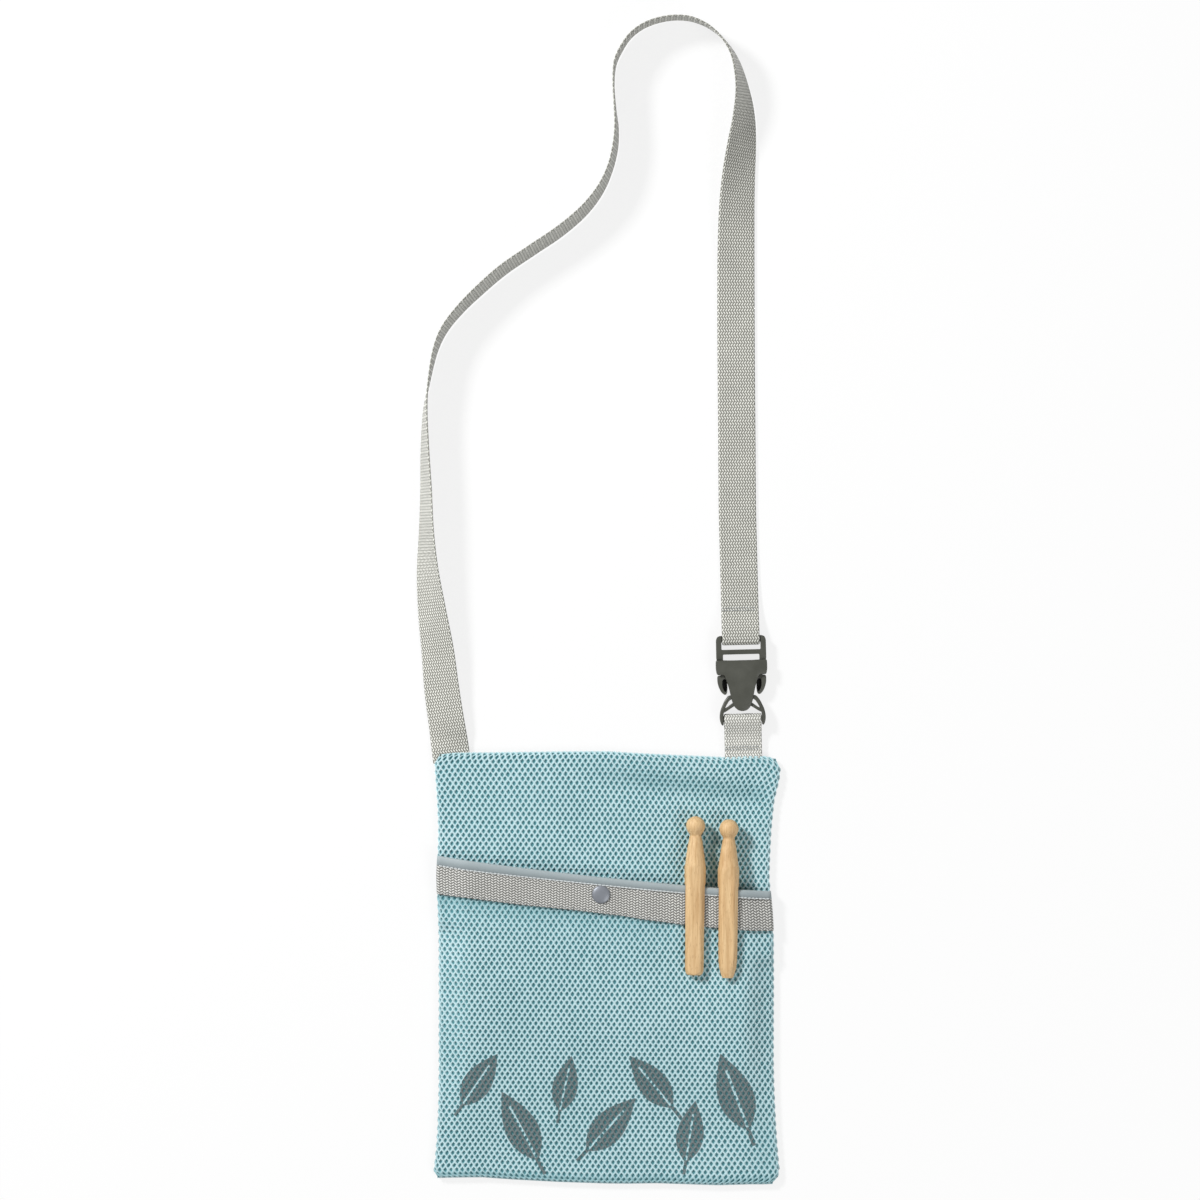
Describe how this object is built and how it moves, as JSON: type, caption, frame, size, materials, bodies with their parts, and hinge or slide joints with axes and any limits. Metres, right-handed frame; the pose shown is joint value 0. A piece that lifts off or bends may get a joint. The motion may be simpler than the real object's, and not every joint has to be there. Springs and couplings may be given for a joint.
{
  "type": "peg bag",
  "caption": "Flat shoulder bag of spacer mesh for clothes pegs, with a slanted bound pocket, press stud, webbing strap, side-release buckle and dolly pegs over the mouth.",
  "frame": {"origin": "centre of the back panel's flat outer face, which lies on the floor", "axes": "+X across the bag to the buckle's side, +Y up the bag towards the strap, +Z out of the front"},
  "size_m": [0.2411, 0.7644, 0.0253],
  "materials": {
    "spacer_mesh": "light-blue open mesh",
    "binding": "smooth blue-grey tape",
    "webbing": "grey woven webbing",
    "stud_cap": "blue-grey satin",
    "stud_metal": "satin",
    "buckle": "dark olive-grey satin",
    "beech": "bare turned beech"
  },
  "bodies": {
    "bag": {"back_panel": "spacer_mesh", "upper_front_panel": "spacer_mesh", "stud_nub": "stud_metal", "stud_post": "stud_metal", "shoulder_strap": "webbing", "buckle_tab": "webbing", "buckle_female": "buckle"},
    "pocket_front": {"pocket_panel": "spacer_mesh", "mouth_webbing": "webbing", "mouth_binding": "binding", "stud_cap": "stud_cap", "stud_socket": "stud_metal"},
    "peg_left": {"peg_left": "beech"},
    "peg_right": {"peg_right": "beech"},
    "buckle_male": {"buckle_male": "buckle"},
    "prong_left": {"buckle_prong_left": "buckle"},
    "prong_right": {"buckle_prong_right": "buckle"}
  },
  "joints": [
    {"name": "pocket_open", "type": "hinge", "parent": "bag", "child": "pocket_front", "pos_m": [0, -0.14, 0.0028], "axis": [1, 0, 0], "range_deg": [0, 7]},
    {"name": "peg_left_pull", "type": "slide", "parent": "pocket_front", "child": "peg_left", "axis": [0, 1, 0], "range_m": [0, 0.062]},
    {"name": "peg_right_pull", "type": "slide", "parent": "pocket_front", "child": "peg_right", "axis": [0, 1, 0], "range_m": [0, 0.062]},
    {"name": "buckle_release", "type": "slide", "parent": "bag", "child": "buckle_male", "axis": [-0.0349, 0.9994, 0], "range_m": [0, 0.025], "deforming": ["shoulder_strap", "buckle_prong_left", "buckle_prong_right"]},
    {"name": "prong_left_press", "type": "hinge", "parent": "buckle_male", "child": "prong_left", "pos_m": [0.07501, 0.19976, 0.0046], "axis": [0, 0, 1], "range_deg": [0, 12], "stiffness_Nm_per_rad": 0.8},
    {"name": "prong_right_press", "type": "hinge", "parent": "buckle_male", "child": "prong_right", "pos_m": [0.09799, 0.20056, 0.0046], "axis": [0, 0, -1], "range_deg": [0, 12], "stiffness_Nm_per_rad": 0.8}
  ]
}
